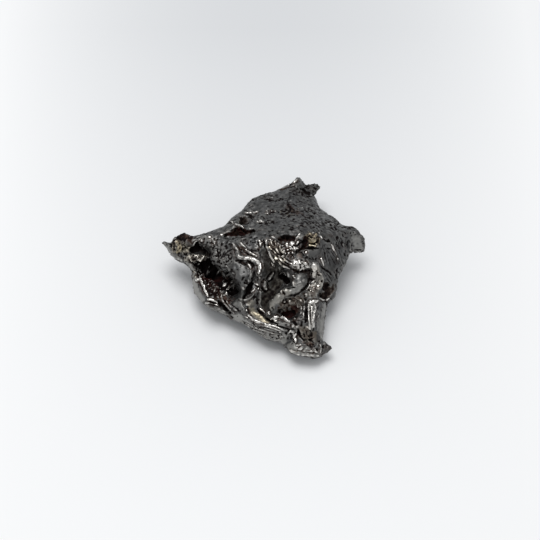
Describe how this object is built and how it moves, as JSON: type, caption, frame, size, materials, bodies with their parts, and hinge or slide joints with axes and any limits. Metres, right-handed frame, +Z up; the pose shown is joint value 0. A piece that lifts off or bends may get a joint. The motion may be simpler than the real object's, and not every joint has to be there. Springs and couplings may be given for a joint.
{
  "type": "iron meteorite",
  "caption": "Four-pointed shard of torn and folded iron meteorite with a crested top, deep hollows and thumb-print dents, lying on its rough underside.",
  "frame": {"origin": "middle of the bounding box, on the surface that the stone lies on", "axes": "+Z up, +X towards the fin on the right, +Y away from the hollowed front face towards the back point"},
  "size_m": [0.0404, 0.0426, 0.0143],
  "materials": {
    "meteoritic_iron": "dark grey crust worn to bright metal on the ridges, with brown rust in the hollows"
  },
  "bodies": {
    "root": {"meteorite": "meteoritic_iron"}
  },
  "joints": []
}
